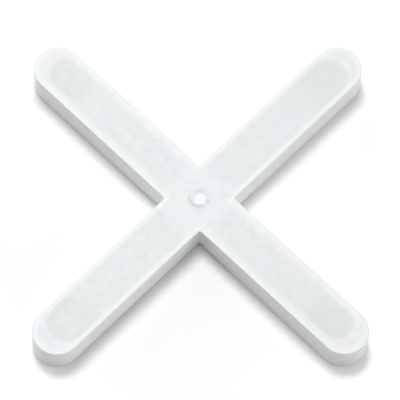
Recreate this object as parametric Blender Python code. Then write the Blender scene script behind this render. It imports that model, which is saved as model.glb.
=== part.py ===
"""A cross-shaped spacer for setting tiles, injection moulded in one piece of white plastic.

Four equal arms with full-round ends meet at right angles. The flat side walls of the arms hold
neighbouring tiles one joint width apart, so four tile corners fit into the four notches.

The moulding has what such a piece gets from its mould and its cooling:
- walls with a little draft, so the face is slightly narrower than the foot;
- a finely rounded rim round the face, and a rounder foot that shades the line where it stands;
- a small fillet in the corner of each notch;
- a gate well in the middle of the face, with the stub of the gate standing in it;
- a shallow shrink hollow along each arm, which starts near the hub and is deepest at the tip.

Units are metres and +Z is up. The underside lies on z = 0 with the hub over the origin, and the
arms run along +X, +Y, -X and -Y.
"""

import math

import bmesh
import bpy
from mathutils import Matrix, Vector

MM = 0.001

# Driving dimensions of the cross
JOINT_WIDTH = 5.0 * MM
SPAN = 45.0 * MM
THICKNESS = 3.5 * MM

# Walls and edges
DRAFT = math.radians(0.4)
RIM_RADIUS = 0.1 * MM
FOOT_RADIUS = 0.2 * MM
NOTCH_RADIUS = 0.2 * MM

# Gate well and gate stub, turned about the hub's axis
WELL_MOUTH_DIAMETER = 2.16 * MM
WELL_FLARE = 0.08 * MM
WELL_DEPTH = 0.26 * MM
STUB_FOOT_GAP = 0.06 * MM
STUB_TOP_DIAMETER = 1.24 * MM
STUB_HEIGHT = 0.24 * MM
STUB_CROWN = 0.03 * MM

# Shrink hollow along each arm
HOLLOW_START = 3.2 * MM
HOLLOW_DEPTH = 0.05 * MM
HOLLOW_SIDE_RIM = 0.4 * MM
HOLLOW_TIP_RIM = 1.65 * MM
HOLLOW_SHOULDER = 0.6 * MM

# How finely round forms are faceted
TIP_STEPS = 28
NOTCH_STEPS = 6
ROUNDING_STEPS = 4
SHOULDER_STEPS = 3
TURNED_STEPS = 40
CROWN_STEPS = 3

# A cutter stands this far out of the face that it cuts
CUTTER_PROUD = 0.5 * MM
WELD_DISTANCE = 0.0005 * MM

ARMS = 4
QUARTER_TURN = math.pi / 2
SHARP_EDGE = math.radians(30)

PLASTIC_COLOUR = (0.86, 0.88, 0.885, 1.0)
PLASTIC_ROUGHNESS = 0.42


def clear_scene():
    """Remove every object, so that the file starts empty."""
    for obj in list(bpy.data.objects):
        bpy.data.objects.remove(obj, do_unlink=True)


def arc(centre, radius, start, end, steps):
    """Points of an arc in plan from one angle to the other, both ends included."""
    points = []
    for step in range(steps + 1):
        angle = start + (end - start) * step / steps
        x = centre[0] + radius * math.cos(angle)
        y = centre[1] + radius * math.sin(angle)
        points.append(Vector((x, y)))
    return points


def turned_in_plan(points, angle):
    """The plan points turned about the origin."""
    turn = Matrix.Rotation(angle, 2)
    return [turn @ point for point in points]


def cross_outline(inset):
    """Closed outline of the cross in plan, anticlockwise, with every wall moved in by inset."""
    half_width = JOINT_WIDTH / 2 - inset
    tip_centre = (SPAN / 2 - JOINT_WIDTH / 2, 0.0)
    notch_centre = (JOINT_WIDTH / 2 + NOTCH_RADIUS, JOINT_WIDTH / 2 + NOTCH_RADIUS)
    tip = arc(tip_centre, half_width, -math.pi / 2, math.pi / 2, TIP_STEPS)
    notch = arc(notch_centre, NOTCH_RADIUS + inset, 1.5 * math.pi, math.pi, NOTCH_STEPS)
    outline = []
    for arm in range(ARMS):
        outline += turned_in_plan(tip + notch, arm * QUARTER_TURN)
    return outline


def closed_loop(bm, points):
    """A ring of vertices with its edges."""
    verts = [bm.verts.new(point) for point in points]
    edges = []
    for index, vert in enumerate(verts):
        edges.append(bm.edges.new((vert, verts[(index + 1) % len(verts)])))
    return verts, edges


def loft(bm, rings):
    """A closed body through rings of equal count, lowest first, with a flat cap on each end."""
    loops = [closed_loop(bm, ring) for ring in rings]
    for (_, lower), (_, upper) in zip(loops, loops[1:]):
        bmesh.ops.bridge_loops(bm, edges=lower + upper)
    bm.faces.new(loops[0][0])
    bm.faces.new(loops[-1][0])
    bmesh.ops.recalc_face_normals(bm, faces=bm.faces)


def object_from(bm, name):
    """Turn the bmesh into a named object in the scene."""
    mesh = bpy.data.meshes.new(name)
    bm.to_mesh(mesh)
    bm.free()
    obj = bpy.data.objects.new(name, mesh)
    bpy.context.scene.collection.objects.link(obj)
    return obj


def make_cutter(bm, name):
    """An object that only cuts: drawn as wire and left out of renders."""
    obj = object_from(bm, name)
    obj.display_type = "WIRE"
    obj.hide_render = True
    return obj


def build_cross():
    """The drafted cross: its foot is the full joint width and its face is narrower."""
    foot = [point.to_3d() for point in cross_outline(0.0)]
    face_inset = THICKNESS * math.tan(DRAFT)
    lift = Vector((0.0, 0.0, THICKNESS))
    face = [point.to_3d() + lift for point in cross_outline(face_inset)]
    bm = bmesh.new()
    loft(bm, [foot, face])
    return object_from(bm, "tile_spacer")


def round_rim_and_foot(spacer):
    """Round the rim of the face finely and the foot more; the upright edges stay as they are."""
    mesh = spacer.data
    weights = mesh.attributes.new("bevel_weight_edge", "FLOAT", "EDGE")
    widest = max(RIM_RADIUS, FOOT_RADIUS)
    for edge in mesh.edges:
        raised = [mesh.vertices[end].co.z > THICKNESS / 2 for end in edge.vertices]
        if all(raised):
            weights.data[edge.index].value = RIM_RADIUS / widest
        elif not any(raised):
            weights.data[edge.index].value = FOOT_RADIUS / widest
    bevel = spacer.modifiers.new("round rim and foot", "BEVEL")
    bevel.limit_method = "WEIGHT"
    bevel.width = widest
    bevel.segments = ROUNDING_STEPS
    bevel.use_clamp_overlap = False


def gate_profile():
    """Half section of what the gate well removes, from the stub's crown out and up.

    The stub is a low cone that nearly fills the well's floor.
    """
    floor = THICKNESS - WELL_DEPTH
    stub_top = floor + STUB_HEIGHT
    stub_radius = STUB_TOP_DIAMETER / 2
    mouth_radius = WELL_MOUTH_DIAMETER / 2
    floor_radius = mouth_radius - WELL_FLARE
    profile = []
    for step in range(CROWN_STEPS + 1):
        share = step / CROWN_STEPS
        drop = STUB_CROWN * share * share
        profile.append(Vector((stub_radius * share, 0.0, stub_top - drop)))
    profile.append(Vector((floor_radius - STUB_FOOT_GAP, 0.0, floor)))
    profile.append(Vector((floor_radius, 0.0, floor)))
    proud_radius = mouth_radius + WELL_FLARE / WELL_DEPTH * CUTTER_PROUD
    proud_height = THICKNESS + CUTTER_PROUD
    profile.append(Vector((proud_radius, 0.0, proud_height)))
    profile.append(Vector((0.0, 0.0, proud_height)))
    return profile


def build_gate_cutter():
    """Turn the gate section about the hub's axis, so the stub is left standing in its well."""
    bm = bmesh.new()
    verts = [bm.verts.new(point) for point in gate_profile()]
    edges = [bm.edges.new(pair) for pair in zip(verts, verts[1:])]
    bmesh.ops.spin(
        bm,
        geom=verts + edges,
        cent=(0.0, 0.0, 0.0),
        axis=(0.0, 0.0, 1.0),
        angle=2 * math.pi,
        steps=TURNED_STEPS,
        use_duplicate=False,
    )
    bmesh.ops.remove_doubles(bm, verts=bm.verts, dist=WELD_DISTANCE)
    bmesh.ops.recalc_face_normals(bm, faces=bm.faces)
    return make_cutter(bm, "gate_well_cutter")


def hollow_outline(half_width):
    """Plan of one shrink hollow on the +X arm: straight sides and a full-round outer end."""
    widest = JOINT_WIDTH / 2 - HOLLOW_SIDE_RIM
    end_centre = SPAN / 2 - HOLLOW_TIP_RIM - widest
    inner_end = HOLLOW_START / 2
    outline = arc((end_centre, 0.0), half_width, -math.pi / 2, math.pi / 2, TIP_STEPS)
    outline.append(Vector((inner_end, half_width)))
    outline.append(Vector((inner_end, -half_width)))
    return outline


def hollow_floor(distance_from_hub):
    """Height of the hollow's sloping floor, which meets the face where the hollow starts."""
    deepest_at = SPAN / 2 - HOLLOW_TIP_RIM
    slope = HOLLOW_DEPTH / (deepest_at - HOLLOW_START)
    return THICKNESS - slope * (distance_from_hub - HOLLOW_START)


def build_hollow_cutter(arm):
    """The shape that one shrink hollow removes: a sloping floor with a curved shoulder round it."""
    widest = JOINT_WIDTH / 2 - HOLLOW_SIDE_RIM
    rings = []
    for step in range(SHOULDER_STEPS + 2):
        share = step / SHOULDER_STEPS
        half_width = widest - HOLLOW_SHOULDER + HOLLOW_SHOULDER * share
        rise = HOLLOW_DEPTH * share * share
        ring = []
        for point in hollow_outline(half_width):
            ring.append(Vector((point.x, point.y, hollow_floor(point.x) + rise)))
        rings.append(ring)
    proud_height = THICKNESS + CUTTER_PROUD
    rings.append([Vector((point.x, point.y, proud_height)) for point in rings[-1]])
    bm = bmesh.new()
    loft(bm, rings)
    turn = Matrix.Rotation(arm * QUARTER_TURN, 3, "Z")
    bmesh.ops.rotate(bm, verts=bm.verts, cent=(0.0, 0.0, 0.0), matrix=turn)
    return make_cutter(bm, f"shrink_hollow_cutter_{arm + 1}")


def cut(spacer, cutter):
    """Take the cutter's shape out of the spacer."""
    boolean = spacer.modifiers.new(cutter.name, "BOOLEAN")
    boolean.operation = "DIFFERENCE"
    boolean.solver = "EXACT"
    boolean.object = cutter


def white_plastic():
    """Milky white plastic with a soft shine."""
    material = bpy.data.materials.new("white_plastic")
    material.use_nodes = True
    shader = material.node_tree.nodes["Principled BSDF"]
    shader.inputs["Base Color"].default_value = PLASTIC_COLOUR
    shader.inputs["Roughness"].default_value = PLASTIC_ROUGHNESS
    shader.inputs["Metallic"].default_value = 0.0
    return material


def main():
    """Build the spacer: cross, rounded rim and foot, gate well, four shrink hollows, plastic."""
    clear_scene()
    spacer = build_cross()
    round_rim_and_foot(spacer)
    cut(spacer, build_gate_cutter())
    for arm in range(ARMS):
        cut(spacer, build_hollow_cutter(arm))
    spacer.data.materials.append(white_plastic())
    spacer.data.shade_smooth()
    spacer.data.set_sharp_from_angle(angle=SHARP_EDGE)


main()
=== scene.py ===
"""Looks of a cross-shaped tile spacer, moulded in one piece of milky white plastic.

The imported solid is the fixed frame. One finely meshed piece stands for it, with the same span,
thickness, walls, notches, rounded rim and foot, gate mark and shrink hollows, and carries the
plastic's finish. Its underside is slightly bowed. Sizes are written in millimetres and become
metres where a mesh is made.
"""

import logging
import math
from dataclasses import dataclass, field
from enum import Enum
from typing import Callable

import bmesh
import bpy
import numpy as np
from mathutils import Matrix, Vector


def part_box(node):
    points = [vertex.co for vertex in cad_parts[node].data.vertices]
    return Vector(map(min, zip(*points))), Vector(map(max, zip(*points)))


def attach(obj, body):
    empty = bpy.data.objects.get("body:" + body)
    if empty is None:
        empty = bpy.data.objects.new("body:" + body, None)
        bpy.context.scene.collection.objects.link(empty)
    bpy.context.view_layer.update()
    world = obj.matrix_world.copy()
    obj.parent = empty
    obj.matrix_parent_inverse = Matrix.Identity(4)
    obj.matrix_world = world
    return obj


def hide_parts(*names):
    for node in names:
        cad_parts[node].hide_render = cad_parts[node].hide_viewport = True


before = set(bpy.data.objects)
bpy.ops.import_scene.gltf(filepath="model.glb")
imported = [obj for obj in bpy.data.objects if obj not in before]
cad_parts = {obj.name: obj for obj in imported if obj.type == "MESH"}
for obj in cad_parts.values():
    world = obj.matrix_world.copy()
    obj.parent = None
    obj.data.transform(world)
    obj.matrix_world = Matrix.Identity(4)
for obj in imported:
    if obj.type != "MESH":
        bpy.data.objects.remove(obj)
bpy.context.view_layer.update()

MM = 0.001
SPACER_NODE = "tile_spacer"
SPACER_BODY = "root"

# Sizes of the outline in millimetres; the span and the thickness come from the frame
JOINT_WIDTH = 5.0
NOTCH_RADIUS = 0.2

# Sockets of the Mix node that carry its share and its colours
MIX_SHARE = 0
MIX_COLOURS = (6, 7)
MIX_RESULT = 2

log = logging.getLogger("tile_spacer")

Array = np.ndarray
Rgb = tuple[float, float, float]
Socket = bpy.types.NodeSocket


class Face(Enum):
    """The two flat sides of the spacer."""

    TOP = "top"
    UNDERSIDE = "underside"


class Bar(Enum):
    """The two straight bars that cross in the hub."""

    X = "x"
    Y = "y"


def smooth_step(value: Array) -> Array:
    """Ease from 0 to 1 as value goes from 0 to 1: 3 t squared minus 2 t cubed.

    Args:
        value: any numbers; those outside 0 to 1 are held at the nearer end.

    Returns:
        The eased numbers.
    """
    t = np.clip(value, 0.0, 1.0)
    return t * t * (3.0 - 2.0 * t)


@dataclass
class GridSurface:
    """Quads over grids of points, welded into one closed mesh."""

    weld_mm: float = 0.002
    points: list[Array] = field(default_factory=list)
    quads: list[Array] = field(default_factory=list)
    count: int = 0

    def add(self, grid: Array, around: bool = False) -> None:
        """Add one grid of points and the quads between its neighbours.

        Args:
            grid: rows by columns by 3, in millimetres.
            around: whether the last column joins the first.
        """
        rows, columns, _ = grid.shape
        index = np.arange(rows * columns).reshape(rows, columns) + self.count
        if around:
            index = np.concatenate([index, index[:, :1]], axis=1)
        corners = (index[:-1, :-1], index[:-1, 1:], index[1:, 1:], index[1:, :-1])
        self.quads.append(np.stack([corner.ravel() for corner in corners], axis=1))
        self.points.append(grid.reshape(-1, 3))
        self.count += rows * columns

    def build(self, name: str) -> bpy.types.Object:
        """Weld the grids and turn them into a named object with outward faces.

        Args:
            name: the new object's name.

        Returns:
            The object, at the origin, in metres.
        """
        mesh = bpy.data.meshes.new(name)
        points = np.concatenate(self.points) * MM
        mesh.from_pydata(points.tolist(), [], np.concatenate(self.quads).tolist())
        shell = bmesh.new()
        shell.from_mesh(mesh)
        bmesh.ops.remove_doubles(shell, verts=shell.verts, dist=self.weld_mm * MM)
        bmesh.ops.recalc_face_normals(shell, faces=shell.faces)
        shell.to_mesh(mesh)
        shell.free()
        piece = bpy.data.objects.new(name, mesh)
        bpy.context.scene.collection.objects.link(piece)
        return piece


@dataclass
class CrossPlan:
    """The spacer's outline in plan, as spine points with a half width round them.

    Column t of the outline at an inset s is
    base[t] + (radius[t] - side[t] * s) * direction[t].
    On an arm the base runs out along the arm's middle and back, the radius is half the joint
    width and the side is 1. In a notch the base is the fillet's centre, the radius is the
    fillet's and the side is -1, because the wall leaves the centre as s grows.
    """

    span: float
    joint_width: float = JOINT_WIDTH
    notch_radius: float = NOTCH_RADIUS
    side_steps: int = 70
    tip_steps: int = 44
    notch_steps: int = 8

    @property
    def half_width(self) -> float:
        """Half the joint width."""
        return self.joint_width / 2

    @property
    def arm_start(self) -> float:
        """Where an arm's straight walls begin, measured from the hub's axis."""
        return self.half_width + self.notch_radius

    @property
    def tip_centre(self) -> float:
        """Where the centre of an arm's round end lies."""
        return self.span / 2 - self.half_width

    def arm_columns(self) -> tuple[Array, Array]:
        """Spine points and directions of the +X arm's columns, from its -Y wall round to its +Y wall.

        Returns:
            Bases and directions, each columns by 2.
        """
        out = np.linspace(self.arm_start, self.tip_centre, self.side_steps + 1)
        sweep = np.linspace(-math.pi / 2, math.pi / 2, self.tip_steps + 1)[1:-1]
        along = np.concatenate([out, np.full(sweep.size, self.tip_centre), out[::-1]])
        low = np.full(out.size, -math.pi / 2)
        angle = np.concatenate([low, sweep, -low])
        base = np.stack([along, np.zeros_like(along)], axis=1)
        return base, np.stack([np.cos(angle), np.sin(angle)], axis=1)

    def notch_columns(self) -> tuple[Array, Array]:
        """Fillet centre and directions of the notch between the +X and +Y arms.

        Returns:
            Bases and directions, each columns by 2, without the ends that the arms hold.
        """
        angle = np.linspace(1.5 * math.pi, math.pi, self.notch_steps + 1)[1:-1]
        base = np.full((angle.size, 2), self.arm_start)
        return base, np.stack([np.cos(angle), np.sin(angle)], axis=1)

    def ring(self, inset: float) -> Array:
        """The whole outline moved in by inset, anticlockwise.

        Args:
            inset: how far every wall moves in, in millimetres.

        Returns:
            Columns by 2.
        """
        quarter = np.concatenate([self.arm_ring(inset), self.notch_ring(inset)])
        return np.concatenate([quarter_turn(quarter, turn) for turn in range(4)])

    def edge_distance(self, x: Array, y: Array) -> Array:
        """How far inside the outline plan points lie.

        On an arm it is the half width less the distance from the arm's middle line. In the hub
        it is the distance from the nearest notch's fillet.

        Args:
            x: first coordinates.
            y: second coordinates.

        Returns:
            Distances, 0 on the outline.
        """
        along = np.maximum(np.abs(x), np.abs(y))
        across = np.minimum(np.abs(x), np.abs(y))
        arm = self.half_width - np.hypot(np.maximum(along - self.tip_centre, 0.0), across)
        hub = np.hypot(self.arm_start - along, self.arm_start - across) - self.notch_radius
        return np.where(along < self.arm_start, hub, arm)

    def arm_ring(self, inset: float) -> Array:
        """The +X arm's part of the outline moved in by inset, as columns by 2."""
        base, direction = self.arm_columns()
        return base + (self.half_width - inset) * direction

    def notch_ring(self, inset: float) -> Array:
        """The outline's part in the notch between +X and +Y moved in by inset, as columns by 2."""
        base, direction = self.notch_columns()
        return base + (self.notch_radius + inset) * direction


def quarter_turn(points: Array, times: int) -> Array:
    """Turn points about +Z by whole quarter turns.

    Args:
        points: an array whose last axis starts with x and y.
        times: how many quarter turns, anticlockwise.

    Returns:
        The turned copy.
    """
    turned = points.copy()
    for _ in range(times % 4):
        turned[..., 0], turned[..., 1] = -turned[..., 1].copy(), turned[..., 0].copy()
    return turned


@dataclass(frozen=True)
class ShrinkHollow:
    """The shallow hollow that the plastic leaves along an arm as it cools.

    Its floor sinks over a soft shoulder, and the painted shade laid over it ends more crisply.
    """

    half_width: float
    side_fade: float
    offset: float = 0.0
    tip_fade: float = 0.45
    tip_rim: float = 1.85
    shoulder: float = 1.2
    depth: float = 0.05
    start: float = 2.4
    run_in: float = 2.0
    deeper_from: float = 14.5
    deeper_over: float = 3.5
    shallow_share: float = 0.5

    def inside(self, span: float, along: Array, across: Array) -> Array:
        """How far inside the hollow's outline a point lies.

        The outline is the set of points half_width away from a line along the arm, which lies the
        offset beside the arm's middle.

        Args:
            span: the cross from tip to tip.
            along: distance from the hub's axis along the arm.
            across: place across the arm, 0 at its middle.

        Returns:
            Distances, 0 on the outline.
        """
        end_centre = span / 2 - self.tip_rim - self.half_width
        past_end = np.maximum(along - end_centre, 0.0)
        return self.half_width - np.hypot(past_end, across - self.offset)

    def growth(self, along: Array) -> Array:
        """Share of the full depth: one eased step past the hub and another towards the tip.

        Args:
            along: distance from the hub's axis along the arm.

        Returns:
            0 at the hub to 1 near the tip.
        """
        past_hub = smooth_step((along - self.start) / self.run_in)
        return self.shallow_share * past_hub + (1.0 - self.shallow_share) * self.near_tip(along)

    def near_tip(self, along: Array) -> Array:
        """How near the deep end a point is: 0 on the shallow stretch, eased to 1."""
        return smooth_step((along - self.deeper_from) / self.deeper_over)

    def sink(self, span: float, along: Array, across: Array) -> Array:
        """How far the face sinks: depth times growth, eased over a shoulder astride the outline.

        Args:
            span: the cross from tip to tip.
            along: distance from the hub's axis along the arm.
            across: place across the arm, 0 at its middle.

        Returns:
            Depths in millimetres.
        """
        cover = smooth_step(0.5 + self.inside(span, along, across) / self.shoulder)
        return self.depth * cover * self.growth(along)

    def painted_shade(self, span: float, along: Array, across: Array) -> Array:
        """How much painted shade darkens the hollow: growth, faded over a width that tightens towards
        the tip.

        Args:
            span: the cross from tip to tip.
            along: distance from the hub's axis along the arm.
            across: place across the arm, 0 at its middle.

        Returns:
            0 outside to 1 on the hollow's deep end.
        """
        fade = self.side_fade + (self.tip_fade - self.side_fade) * self.near_tip(along)
        cover = smooth_step(0.5 + self.inside(span, along, across) / fade)
        return cover * self.growth(along)


@dataclass(frozen=True)
class Bow:
    """How the underside stands off the floor, as the cooling plastic pulls it hollow.

    The rise is greatest under the hub, eases to a shallow run along each arm and ends at the tips,
    on which the spacer stands. The piece is a little warped, so each arm has a run of its own.
    """

    hub_rise: float = 0.28
    hub_reach: tuple[float, float] = (2.5, 9.0)
    arm_rises: tuple[float, float, float, float] = (0.03, 0.12, 0.07, 0.22)
    arm_reach: tuple[float, float] = (18.5, 22.2)

    def rise(self, x: Array, y: Array) -> Array:
        """How far the underside rises above the floor.

        The hub's rise is eased to that of the arm which a point lies on, and this to 0 at the
        tip. The arms' rises are listed for +X, +Y, -X and -Y.

        Args:
            x: first coordinates of the plan points.
            y: second coordinates.

        Returns:
            Heights above the floor.
        """
        along = np.maximum(np.abs(x), np.abs(y))
        arm = np.where(np.abs(x) >= np.abs(y), np.where(x > 0, 0, 2), np.where(y > 0, 1, 3))
        own = np.take(self.arm_rises, arm)
        reaches = (self.hub_reach, self.arm_reach)
        past_hub, at_tip = (smooth_step((along - a) / (b - a)) for a, b in reaches)
        return (self.hub_rise + (own - self.hub_rise) * past_hub) * (1.0 - at_tip)


@dataclass(frozen=True)
class Dip:
    """A deeper place in the gate's groove: its depth times a power of the cosine from its middle."""

    degrees: float
    depth: float
    sharpness: float

    def along(self, angle: Array) -> Array:
        """How much deeper the groove is at each angle."""
        cosine = np.cos(angle - math.radians(self.degrees))
        return self.depth * np.maximum(cosine, 0.0) ** self.sharpness


@dataclass(frozen=True)
class GateMark:
    """The gate's mark in the middle of the face: a round groove with the torn stub inside it.

    The gate was bent over before it tore, so the groove leans: on the side that it was pulled from
    it is deepest and its floor lies further out. It has a second dip on the far side and a nick.
    Each torn wave is how often it goes round, its share of the stub's radius and its phase.
    """

    lip_radius: float = 1.14
    lip_lean: float = 0.04
    floor_radius: float = 0.9
    floor_lean: float = 0.22
    lean_degrees: float = -70.0
    depth: float = 0.022
    dips: tuple[Dip, ...] = (Dip(-75.0, 0.2, 2.0), Dip(120.0, 0.07, 7.0), Dip(22.0, 0.06, 30.0))
    rise_power: float = 0.75
    stub_radius: float = 0.56
    stub_drop: float = 0.015
    torn_waves: tuple[tuple[int, float, float], ...] = (
        (1, 0.11, 0.0),
        (2, -0.09, -0.57),
        (4, 0.075, 0.0),
        (7, 0.02, 1.0),
    )
    torn_height: float = 0.02
    torn_fade: float = 0.05
    crown_waves: tuple[float, float] = (7.0, 6.0)
    crown_phases: tuple[float, float] = (1.0, -0.4)
    steps: int = 8

    def torn_edge(self, angle: Array) -> Array:
        """Radius of the stub's torn edge: 1 plus the torn waves, times the stub's radius."""
        waves = sum(size * np.cos(times * angle + phase) for times, size, phase in self.torn_waves)
        return self.stub_radius * (1.0 + waves)

    def torn(self, x: Array, y: Array) -> Array:
        """How torn the plastic is: 1 on the stub's crown, eased to 0 just past its edge."""
        past = np.hypot(x, y) - self.torn_edge(np.arctan2(y, x))
        return 1.0 - smooth_step(past / self.torn_fade)

    def grid(self, top: float, angle: Array) -> Array:
        """The groove and stub as rings of points, from the lip to the axis.

        The lip's and the floor's radius are each a constant plus a lean times the cosine of the
        angle from the lean. The depth is a constant plus the dips. The radius runs evenly from lip
        to floor, on to the torn edge and on to 0, while the drop below the face eases from 0 to
        the depth, then up to the stub's drop, most steeply near the floor, and stays there. The
        crown also sinks in short waves: torn_height times 1 minus a sine across x times a cosine
        across y.

        Args:
            top: height of the spacer's face.
            angle: the columns' angles about the axis.

        Returns:
            Rings by columns by 3.
        """
        c = np.cos(angle - math.radians(self.lean_degrees))
        lip = self.lip_radius + self.lip_lean * c
        floor = self.floor_radius + self.floor_lean * c
        depth = self.depth + sum(dip.along(angle) for dip in self.dips)
        torn_edge = self.torn_edge(angle)
        t = np.linspace(0.0, 1.0, self.steps + 1)[:, None]
        sunk = smooth_step(t)
        risen = smooth_step(t**self.rise_power)
        radius = [lip + (floor - lip) * t, floor + (torn_edge - floor) * t, torn_edge * (1 - t)]
        level = np.full_like(radius[0], self.stub_drop)
        drop = [depth * sunk, depth + (self.stub_drop - depth) * risen, level]
        on_stub = [np.zeros_like(level), np.zeros_like(level) + t, np.ones_like(level)]
        radius, drop, on_stub = (np.concatenate(parts) for parts in (radius, drop, on_stub))
        x = radius * np.cos(angle)
        y = radius * np.sin(angle)
        (wave_x, wave_y), (phase_x, phase_y) = self.crown_waves, self.crown_phases
        waves = 1.0 - np.sin(wave_x * x + phase_x) * np.cos(wave_y * y + phase_y)
        z = top - drop - self.torn_height * on_stub * waves
        return np.stack([x, y, z], axis=2)


@dataclass
class SpacerBody:
    """The moulded cross, meshed finely enough to show its rounded rim and soft hollows.

    The painted highlight edges say for each bar how far from the edge the painted highlight, a paler
    colour along the rim, is full, and where it ends.
    """

    plan: CrossPlan
    thickness: float
    draft_degrees: float = 0.4
    rim_radius: float = 0.1
    foot_radius: float = 0.2
    hollows: dict[Bar, ShrinkHollow] = field(
        default_factory=lambda: {
            Bar.X: ShrinkHollow(half_width=1.56, side_fade=1.2, offset=0.12),
            Bar.Y: ShrinkHollow(half_width=1.92, side_fade=0.5),
        }
    )
    # Painted highlight: how far in from each bar's edge the paler colour reaches
    painted_highlight_edges: dict[Bar, tuple[float, float]] = field(
        default_factory=lambda: {Bar.X: (0.0, 1.25), Bar.Y: (0.28, 0.8)}
    )
    gate: GateMark = field(default_factory=GateMark)
    bow: Bow = field(default_factory=Bow)
    wall_steps: int = 14
    rim_steps: int = 8
    foot_steps: int = 8
    across_steps: int = 26
    hub_steps: int = 18
    sharp_degrees: float = 40.0

    def wall_profile(self) -> Array:
        """Inset and height from the underside, round the foot, up the drafted wall, over the rim.

        The wall is the line inset = height * tan(draft). Each rounding is an arc that leaves the
        wall along its slope.

        Returns:
            Points by 2, upwards.
        """
        draft = math.radians(self.draft_degrees)
        top = self.thickness
        rim = self.rim_radius
        foot = self.foot_radius
        rim_centre = rim * math.cos(draft) + (top - rim + rim * math.sin(draft)) * math.tan(draft)
        foot_centre = foot * math.cos(draft) + (foot + foot * math.sin(draft)) * math.tan(draft)
        down = np.linspace(-math.pi / 2, draft, self.foot_steps + 1)
        foot_arc = np.stack([foot_centre - foot * np.cos(down), foot + foot * np.sin(down)], axis=1)
        up = np.linspace(draft, math.pi / 2, self.rim_steps + 1)
        rim_arc = np.stack([rim_centre - rim * np.cos(up), top - rim + rim * np.sin(up)], axis=1)
        share = np.linspace(0.0, 1.0, self.wall_steps + 1)[1:-1, None]
        wall = foot_arc[-1] + (rim_arc[0] - foot_arc[-1]) * share
        return np.concatenate([foot_arc, wall, rim_arc])

    def on_hollows(self, measure: Callable[..., Array], x: Array, y: Array) -> Array:
        """Work out a measure of the shrink hollow on whichever bar a plan point lies on.

        Args:
            measure: a method of ShrinkHollow that takes the span, along and across.
            x: first coordinates.
            y: second coordinates.

        Returns:
            What the bar's own hollow gives at each point.
        """
        values = np.zeros_like(x)
        for bar, (along, across) in {Bar.X: (np.abs(x), y), Bar.Y: (np.abs(y), x)}.items():
            here = measure(self.hollows[bar], self.plan.span, along, across)
            values = np.where(along >= np.abs(across), here, values)
        return values

    def height(self, face: Face, x: Array, y: Array) -> Array:
        """Height of a face: the top sinks in its shrink hollows, and the underside is bowed.

        Args:
            face: which side of the spacer.
            x: first coordinates of the plan points.
            y: second coordinates.

        Returns:
            Heights over the plan points.
        """
        if face is Face.UNDERSIDE:
            return self.bow.rise(x, y)
        return self.thickness - self.on_hollows(ShrinkHollow.sink, x, y)

    def insets(self, first: float) -> Array:
        """Insets from the edge of a face to the arm's middle, evenly spaced."""
        return np.linspace(first, self.plan.half_width, self.across_steps + 1)

    def lifted(self, face: Face, plan_points: Array) -> Array:
        """Plan points with the face's height as their third coordinate."""
        x, y = plan_points[..., 0], plan_points[..., 1]
        return np.stack([x, y, self.height(face, x, y)], axis=-1)

    def add_walls(self, surface: GridSurface) -> tuple[float, float]:
        """Add foot, walls and rim: the wall profile carried round the outline.

        The bow lifts each point by the rise at its place times 1 - height / thickness.

        Args:
            surface: what the grid is added to.

        Returns:
            Insets of the profile's first and last rows, where the two faces take over.
        """
        profile = self.wall_profile()
        rings = np.stack([self.plan.ring(inset) for inset in profile[:, 0]])
        rise = self.bow.rise(rings[..., 0], rings[..., 1])
        level = profile[:, 1, None]
        heights = level + rise * (1.0 - level / self.thickness)
        surface.add(np.concatenate([rings, heights[:, :, None]], axis=2), around=True)
        return profile[0, 0], profile[-1, 0]

    def add_arm_faces(self, surface: GridSurface, face: Face, first: float) -> None:
        """Add the four arms of one face: rings of the arm's outline shrinking to its middle.

        Args:
            surface: what the grids are added to.
            face: which side of the spacer.
            first: inset of the outermost ring.
        """
        rings = np.stack([self.plan.arm_ring(inset) for inset in self.insets(first)])
        for turn in range(4):
            surface.add(self.lifted(face, quarter_turn(rings, turn)))

    def hub_edge(self, first: float) -> Array:
        """Closed edge of the hub on one face: a line across each arm and each notch's arc.

        Args:
            first: inset of the outermost ring.

        Returns:
            Columns by 2, anticlockwise.
        """
        half_widths = self.plan.half_width - self.insets(first)
        across = np.concatenate([-half_widths, half_widths[::-1][1:]])
        line = np.stack([np.full_like(across, self.plan.arm_start), across], axis=1)
        quarter = np.concatenate([line, self.plan.notch_ring(first)])
        return np.concatenate([quarter_turn(quarter, turn) for turn in range(4)])

    def add_hub(self, surface: GridSurface, face: Face, first: float) -> None:
        """Add the hub of one face, as rings that pass from its edge to circles.

        A ring at share m is (1 - m) times the edge plus m times a circle at the same angles.
        On the top the circles then follow the gate mark's profile in to the axis.

        Args:
            surface: what the grid is added to.
            face: which side of the spacer.
            first: inset of the outermost ring.
        """
        edge = self.hub_edge(first)
        angle = np.arctan2(edge[:, 1], edge[:, 0])
        mark = self.gate.grid(self.thickness, angle)
        inner = mark[0, :, :2] if face is Face.TOP else np.zeros_like(edge)
        share = np.linspace(0.0, 1.0, self.hub_steps + 1)[:, None, None]
        flat = self.lifted(face, (1 - share) * edge + share * inner)
        if face is Face.TOP:
            flat = np.concatenate([flat, mark[1:]])
        surface.add(flat, around=True)

    def build(self) -> bpy.types.Object:
        """Make the spacer's mesh.

        Returns:
            The spacer, riding on nothing yet.
        """
        surface = GridSurface()
        foot_inset, rim_inset = self.add_walls(surface)
        for face, first in ((Face.TOP, rim_inset), (Face.UNDERSIDE, foot_inset)):
            self.add_arm_faces(surface, face, first)
            self.add_hub(surface, face, first)
        piece = surface.build("moulded_cross")
        self.add_painted_light_and_torn(piece.data)
        piece.data.shade_smooth()
        piece.data.set_sharp_from_angle(angle=math.radians(self.sharp_degrees))
        return piece

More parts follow.
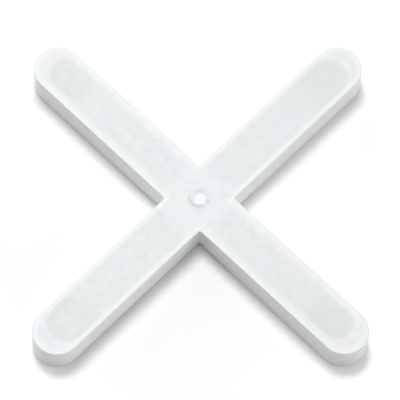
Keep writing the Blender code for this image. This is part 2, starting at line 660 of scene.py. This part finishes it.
    def add_painted_light_and_torn(self, mesh: bpy.types.Mesh) -> None:
        """Write the painted shade over the shrink hollows, the painted highlight near an edge and
        where the plastic is torn, as point attributes.

        Args:
            mesh: the welded mesh, in metres.
        """
        points = np.empty(len(mesh.vertices) * 3, dtype=np.float32)
        mesh.vertices.foreach_get("co", points)
        x, y, z = (points.reshape(-1, 3) / MM).astype(float).T
        on_face = z > self.thickness / 2
        on_x = np.abs(x) >= np.abs(y)
        ends = zip(self.painted_highlight_edges[Bar.X], self.painted_highlight_edges[Bar.Y])
        full, gone = (np.where(on_x, x_bar, y_bar) for x_bar, y_bar in ends)
        # Painted highlight: paler colour near every edge, faded out inwards
        rim = 1.0 - smooth_step((self.plan.edge_distance(x, y) - full) / (gone - full))
        torn = on_face * self.gate.torn(x, y)
        # Painted shade: greyer colour over the shrink hollows
        hollow_shade = on_face * self.on_hollows(ShrinkHollow.painted_shade, x, y)
        # hollow holds painted shade and rim a painted highlight; torn is the whitened plastic's own
        # colour
        painted_light_and_torn = {"hollow": hollow_shade, "rim": rim, "torn": torn}
        for name, values in painted_light_and_torn.items():
            layer = mesh.attributes.new(name, "FLOAT", "POINT")
            layer.data.foreach_set("value", values.astype(np.float32))


@dataclass(frozen=True)
class Clouds:
    """Cloudy noise: clouds per metre, how many finer layers, and the part of its range that shows."""

    scale: float
    detail: float
    shows: tuple[float, float]
    roughness: float = 0.55


@dataclass
class NodeBench:
    """A node tree with short ways to add and join nodes."""

    tree: bpy.types.NodeTree

    def add(self, kind: str, **values: float | tuple) -> bpy.types.Node:
        """Add a node and set sockets by name, with _ for each space.

        Args:
            kind: the node's type.
            values: socket names and what they are set to.

        Returns:
            The node.
        """
        node = self.tree.nodes.new(kind)
        for name, value in values.items():
            node.inputs[name.replace("_", " ")].default_value = value
        return node

    def join(self, source: Socket, target: Socket) -> None:
        """Link one socket to another."""
        self.tree.links.new(source, target)

    def attribute(self, name: str) -> Socket:
        """Read a point attribute of the mesh.

        Args:
            name: the attribute's name.

        Returns:
            Its value as a number.
        """
        node = self.tree.nodes.new("ShaderNodeAttribute")
        node.attribute_name = name
        return node.outputs["Fac"]

    def blend(self, share: Socket, first: Socket | Rgb, second: Socket | Rgb) -> Socket:
        """Mix two colours, each a socket or a plain colour.

        Args:
            share: how much of the second.
            first: colour at share 0.
            second: colour at share 1.

        Returns:
            The mixed colour.
        """
        node = self.tree.nodes.new("ShaderNodeMix")
        node.data_type = "RGBA"
        self.join(share, node.inputs[MIX_SHARE])
        for index, colour in zip(MIX_COLOURS, (first, second)):
            if isinstance(colour, Socket):
                self.join(colour, node.inputs[index])
            else:
                node.inputs[index].default_value = (*colour, 1.0)
        return node.outputs[MIX_RESULT]

    def stretch(
        self, value: Socket, taken: tuple[float, float], given: tuple[float, float]
    ) -> Socket:
        """Map a range of a value onto another range, held beyond its ends.

        Args:
            value: what is mapped.
            taken: the range that it has.
            given: the range that it gets.

        Returns:
            The mapped value.
        """
        node = self.add("ShaderNodeMapRange")
        for name, number in zip(("From Min", "From Max", "To Min", "To Max"), taken + given):
            node.inputs[name].default_value = number
        self.join(value, node.inputs["Value"])
        return node.outputs["Result"]

    def noise(
        self, place: Socket, clouds: Clouds, given: tuple[float, float] = (0.0, 1.0)
    ) -> Socket:
        """Cloudy noise, with the part of its range that shows stretched onto another.

        Args:
            place: coordinates in metres.
            clouds: what the noise is like.
            given: the range that it is stretched onto.

        Returns:
            The stretched noise.
        """
        node = self.add(
            "ShaderNodeTexNoise",
            Scale=clouds.scale,
            Detail=clouds.detail,
            Roughness=clouds.roughness,
        )
        self.join(place, node.inputs["Vector"])
        return self.stretch(node.outputs["Fac"], clouds.shows, given)

    def calculate(self, operation: str, first: Socket, second: Socket) -> Socket:
        """Join two numbers by a sum, a product or the like.

        Args:
            operation: the Math node's operation.
            first: the first number.
            second: the second number.

        Returns:
            The result.
        """
        node = self.tree.nodes.new("ShaderNodeMath")
        node.operation = operation
        self.join(first, node.inputs[0])
        self.join(second, node.inputs[1])
        return node.outputs["Value"]


@dataclass(frozen=True)
class MilkyPlastic:
    """Milky white polyethylene, with a painted highlight that makes it paler at the edges and painted
    shade that makes it greyer in the shrink hollows; whitened where torn.
    """

    plain: Rgb = (0.809, 0.832, 0.853)
    green_tinge: Rgb = (0.797, 0.834, 0.842)
    violet_tinge: Rgb = (0.824, 0.828, 0.856)
    # Painted shade laid over the shrink hollows
    hollow_shade: Rgb = (0.724, 0.755, 0.763)
    # Painted highlight laid near the edges
    edge: Rgb = (0.88, 0.9, 0.909)
    torn: Rgb = (0.945, 0.97, 0.98)
    flow: Clouds = Clouds(scale=520.0, detail=3.0, shows=(0.44, 0.6))
    haze: Clouds = Clouds(scale=380.0, detail=2.0, shows=(0.5, 0.68))
    shine: Clouds = Clouds(scale=1400.0, detail=3.0, shows=(0.3, 0.7))
    grain: Clouds = Clouds(scale=4200.0, detail=2.0, shows=(0.2, 0.8))
    roughness: tuple[float, float] = (0.38, 0.47)
    grain_strength: float = 0.25
    grain_mm: float = 0.02

    def material(self) -> bpy.types.Material:
        """Make the material.

        Returns:
            A material that reads the mesh's hollow (painted shade), rim (painted highlight) and torn
            attributes.
        """
        made = bpy.data.materials.new("milky_plastic")
        made.use_nodes = True
        bench = NodeBench(made.node_tree)
        shader = made.node_tree.nodes["Principled BSDF"]
        place = bench.add("ShaderNodeTexCoord").outputs["Object"]
        colour = bench.blend(bench.noise(place, self.flow), self.plain, self.green_tinge)
        colour = bench.blend(bench.noise(place, self.haze), colour, self.violet_tinge)
        # Painted highlight near the edges
        colour = bench.blend(bench.attribute("rim"), colour, self.edge)
        # Painted shade over the shrink hollows
        colour = bench.blend(bench.attribute("hollow"), colour, self.hollow_shade)
        colour = bench.blend(bench.attribute("torn"), colour, self.torn)
        bench.join(colour, shader.inputs["Base Color"])
        bench.join(bench.noise(place, self.shine, self.roughness), shader.inputs["Roughness"])
        bump = bench.add("ShaderNodeBump", Strength=self.grain_strength, Distance=self.grain_mm * MM)
        bench.join(bench.noise(place, self.grain), bump.inputs["Height"])
        bench.join(bump.outputs["Normal"], shader.inputs["Normal"])
        return made


@dataclass(frozen=True)
class Softbox:
    """A soft lamp: its direction seen from the hub, its level, its width and how far off it is."""

    name: str
    azimuth: float
    elevation: float
    level: float
    width: float = 170.0
    reach: float = 470.0


@dataclass
class Studio:
    """The white set: floor, one lamp, surroundings and camera, in millimetres and degrees.

    The camera sees the floor at the first of its seen levels near the hub and at the second past
    the fade. The panel levels stand at the panel stops. The gap is the studio's open side: the
    light there falls to the gap's level over a stretch of the cosine.
    """

    azimuth: float = 41.56
    elevation: float = 67.67
    roll: float = 3.14
    distance: float = 381.0
    lens: float = 343.5
    hub_pixel: tuple[float, float] = (199.45, 198.13)
    image_size: int = 400
    sensor: float = 36.0
    floor_side: float = 1200.0
    floor_white: float = 0.76
    floor_seen: tuple[float, float] = (1.15, 1.45)
    floor_fade: tuple[float, float] = (20.5, 25.0)
    panel_azimuth: float = 112.0
    panel_levels: tuple[float, ...] = (1.38, 0.26, 0.26, 2.0)
    panel_stops: tuple[float, ...] = (0.0, 0.25, 0.8, 1.0)
    gap_from: tuple[float, float] = (0.1, 0.8)
    gap_level: float = 0.85
    key: Softbox = Softbox("key", azimuth=237.0, elevation=71.0, level=0.502)

    def outward(self, azimuth: float, elevation: float) -> Vector:
        """Unit vector from the hub towards a place round it.

        Args:
            azimuth: degrees round the hub, 0 at -Y and 90 at +X.
            elevation: degrees above the floor.

        Returns:
            The vector.
        """
        turn, rise = math.radians(azimuth), math.radians(elevation)
        level = math.cos(rise)
        return Vector((math.sin(turn) * level, -math.cos(turn) * level, math.sin(rise)))

    def aim(self, obj: bpy.types.Object, target: Vector, roll: float = 0.0) -> None:
        """Turn an object so that its -Z looks at a target and its +X stays level, then roll it.

        Args:
            obj: the camera or lamp.
            target: what it looks at.
            roll: degrees that it rolls about its own +Z.
        """
        away = (obj.location - target).normalized()
        right = Vector((0.0, 0.0, 1.0)).cross(away).normalized()
        up = away.cross(right)
        basis = Matrix((right, up, away)).transposed()
        obj.rotation_euler = (basis @ Matrix.Rotation(math.radians(roll), 3, "Z")).to_euler()

    def add_camera(self, height: float) -> None:
        """Place the camera so that the hub's face lands on its pixel.

        Args:
            height: the spacer's thickness in millimetres.
        """
        data = bpy.data.cameras.new("camera")
        data.sensor_width = self.sensor
        data.lens = self.lens
        camera = bpy.data.objects.new("camera", data)
        bpy.context.scene.collection.objects.link(camera)
        hub = Vector((0.0, 0.0, height * MM))
        out = self.outward(self.azimuth, self.elevation)
        camera.location = hub + out * self.distance * MM
        self.aim(camera, hub, self.roll)
        bpy.context.view_layer.update()
        turn = camera.matrix_world.to_3x3()
        step = self.distance * self.sensor / self.lens / self.image_size * MM
        shift_x = (self.hub_pixel[0] - self.image_size / 2) * step
        shift_y = (self.image_size / 2 - self.hub_pixel[1]) * step
        camera.location -= turn @ Vector((shift_x, shift_y, 0.0))
        bpy.context.scene.camera = camera

    def white_for_looks(self, bench: NodeBench) -> Socket:
        """Tell the rays that see the white set from those that bring its light.

        Args:
            bench: the node tree that asks.

        Returns:
            1 for camera, glossy and transmission rays, and else 0.
        """
        path = bench.add("ShaderNodeLightPath").outputs
        share = bench.calculate("ADD", path["Is Camera Ray"], path["Is Glossy Ray"])
        return bench.calculate("ADD", share, path["Is Transmission Ray"])

    def add_floor(self) -> None:
        """Add the plain white floor, which the camera sees lighter than the plastic does.

        Away from the hub it is lighter still, so that it turns pure white like the photo's ground.
        """
        half = self.floor_side / 2 * MM
        mesh = bpy.data.meshes.new("floor")
        corners = [(-half, -half, 0), (half, -half, 0), (half, half, 0), (-half, half, 0)]
        mesh.from_pydata(corners, [], [(0, 1, 2, 3)])
        floor = bpy.data.objects.new("floor", mesh)
        bpy.context.scene.collection.objects.link(floor)
        material = bpy.data.materials.new("floor")
        material.use_nodes = True
        bench = NodeBench(material.node_tree)
        bench.tree.nodes.remove(bench.tree.nodes["Principled BSDF"])
        paper = bench.add("ShaderNodeBsdfDiffuse")
        reach = bench.tree.nodes.new("ShaderNodeVectorMath")
        reach.operation = "LENGTH"
        bench.join(bench.add("ShaderNodeTexCoord").outputs["Object"], reach.inputs[0])
        fade = tuple(end * MM for end in self.floor_fade)
        seen = bench.stretch(reach.outputs["Value"], fade, self.floor_seen)
        colour = bench.blend(self.white_for_looks(bench), (self.floor_white,) * 3, seen)
        bench.join(colour, paper.inputs["Color"])
        bench.join(paper.outputs["BSDF"], bench.tree.nodes["Material Output"].inputs["Surface"])
        mesh.materials.append(material)

    def add_lamp(self, lamp: Softbox) -> None:
        """Add a round soft lamp that shines at the hub.

        Its power is level * pi squared * reach squared, which lights a white surface that faces
        the lamp to the level.

        Args:
            lamp: where it stands and how strong it is.
        """
        reach = lamp.reach * MM
        data = bpy.data.lights.new(lamp.name, "AREA")
        data.shape = "DISK"
        data.size = lamp.width * MM
        data.energy = lamp.level * (math.pi * reach) ** 2
        made = bpy.data.objects.new(lamp.name, data)
        bpy.context.scene.collection.objects.link(made)
        made.location = self.outward(lamp.azimuth, lamp.elevation) * reach
        self.aim(made, Vector((0.0, 0.0, 0.0)))

    def towards(self, bench: NodeBench, azimuth: float) -> Socket:
        """Cosine between the world shader's direction and a level direction.

        Args:
            bench: the world's node tree.
            azimuth: the level direction.

        Returns:
            Numbers from -1 to 1.
        """
        node = bench.tree.nodes.new("ShaderNodeVectorMath")
        node.operation = "DOT_PRODUCT"
        bench.join(bench.add("ShaderNodeTexCoord").outputs["Generated"], node.inputs[0])
        node.inputs[1].default_value = self.outward(azimuth, 0.0)
        return node.outputs["Value"]

    def add_world(self) -> None:
        """Add the surroundings: white to look at, and a soft light with a panel on either side.

        The light's level eases from the left panel over the middle level to the right panel. Its
        stops stand along half of 1 plus the cosine between a direction and the line of the panels.
        The studio's open side, where the camera stands, is darker.
        """
        world = bpy.data.worlds.new("surroundings")
        world.use_nodes = True
        bench = NodeBench(world.node_tree)
        across = self.towards(bench, self.panel_azimuth)
        ramp = bench.tree.nodes.new("ShaderNodeValToRGB")
        ramp.color_ramp.interpolation = "EASE"
        for position in self.panel_stops[1:-1]:
            ramp.color_ramp.elements.new(position)
        for stop, level in zip(ramp.color_ramp.elements, self.panel_levels):
            stop.color = (level, level, level, 1.0)
        bench.join(bench.stretch(across, (-1.0, 1.0), (0.0, 1.0)), ramp.inputs["Fac"])
        open_side = self.towards(bench, self.azimuth)
        gap = bench.stretch(open_side, self.gap_from, (1.0, self.gap_level))
        level = bench.calculate("MULTIPLY", ramp.outputs["Color"], gap)
        colour = bench.blend(self.white_for_looks(bench), level, (1.0, 1.0, 1.0))
        bench.join(colour, bench.tree.nodes["Background"].inputs["Color"])
        bpy.context.scene.world = world

    def build(self, height: float) -> None:
        """Set up everything round the spacer.

        Args:
            height: the spacer's thickness in millimetres.
        """
        self.add_floor()
        self.add_lamp(self.key)
        self.add_world()
        self.add_camera(height)
        bpy.context.scene.view_settings.view_transform = "Standard"


def main() -> None:
    """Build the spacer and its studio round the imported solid."""
    logging.basicConfig(level=logging.INFO, format="%(name)s: %(message)s")
    low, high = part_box(SPACER_NODE)
    plan = CrossPlan(span=(high.x - low.x) / MM)
    body = SpacerBody(plan=plan, thickness=(high.z - low.z) / MM)
    piece = body.build()
    piece.data.materials.append(MilkyPlastic().material())
    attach(piece, SPACER_BODY)
    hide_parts(SPACER_NODE)
    log.info("%s: %d faces", piece.name, len(piece.data.polygons))
    Studio().build(body.thickness)


if __name__ == "__main__":
    main()
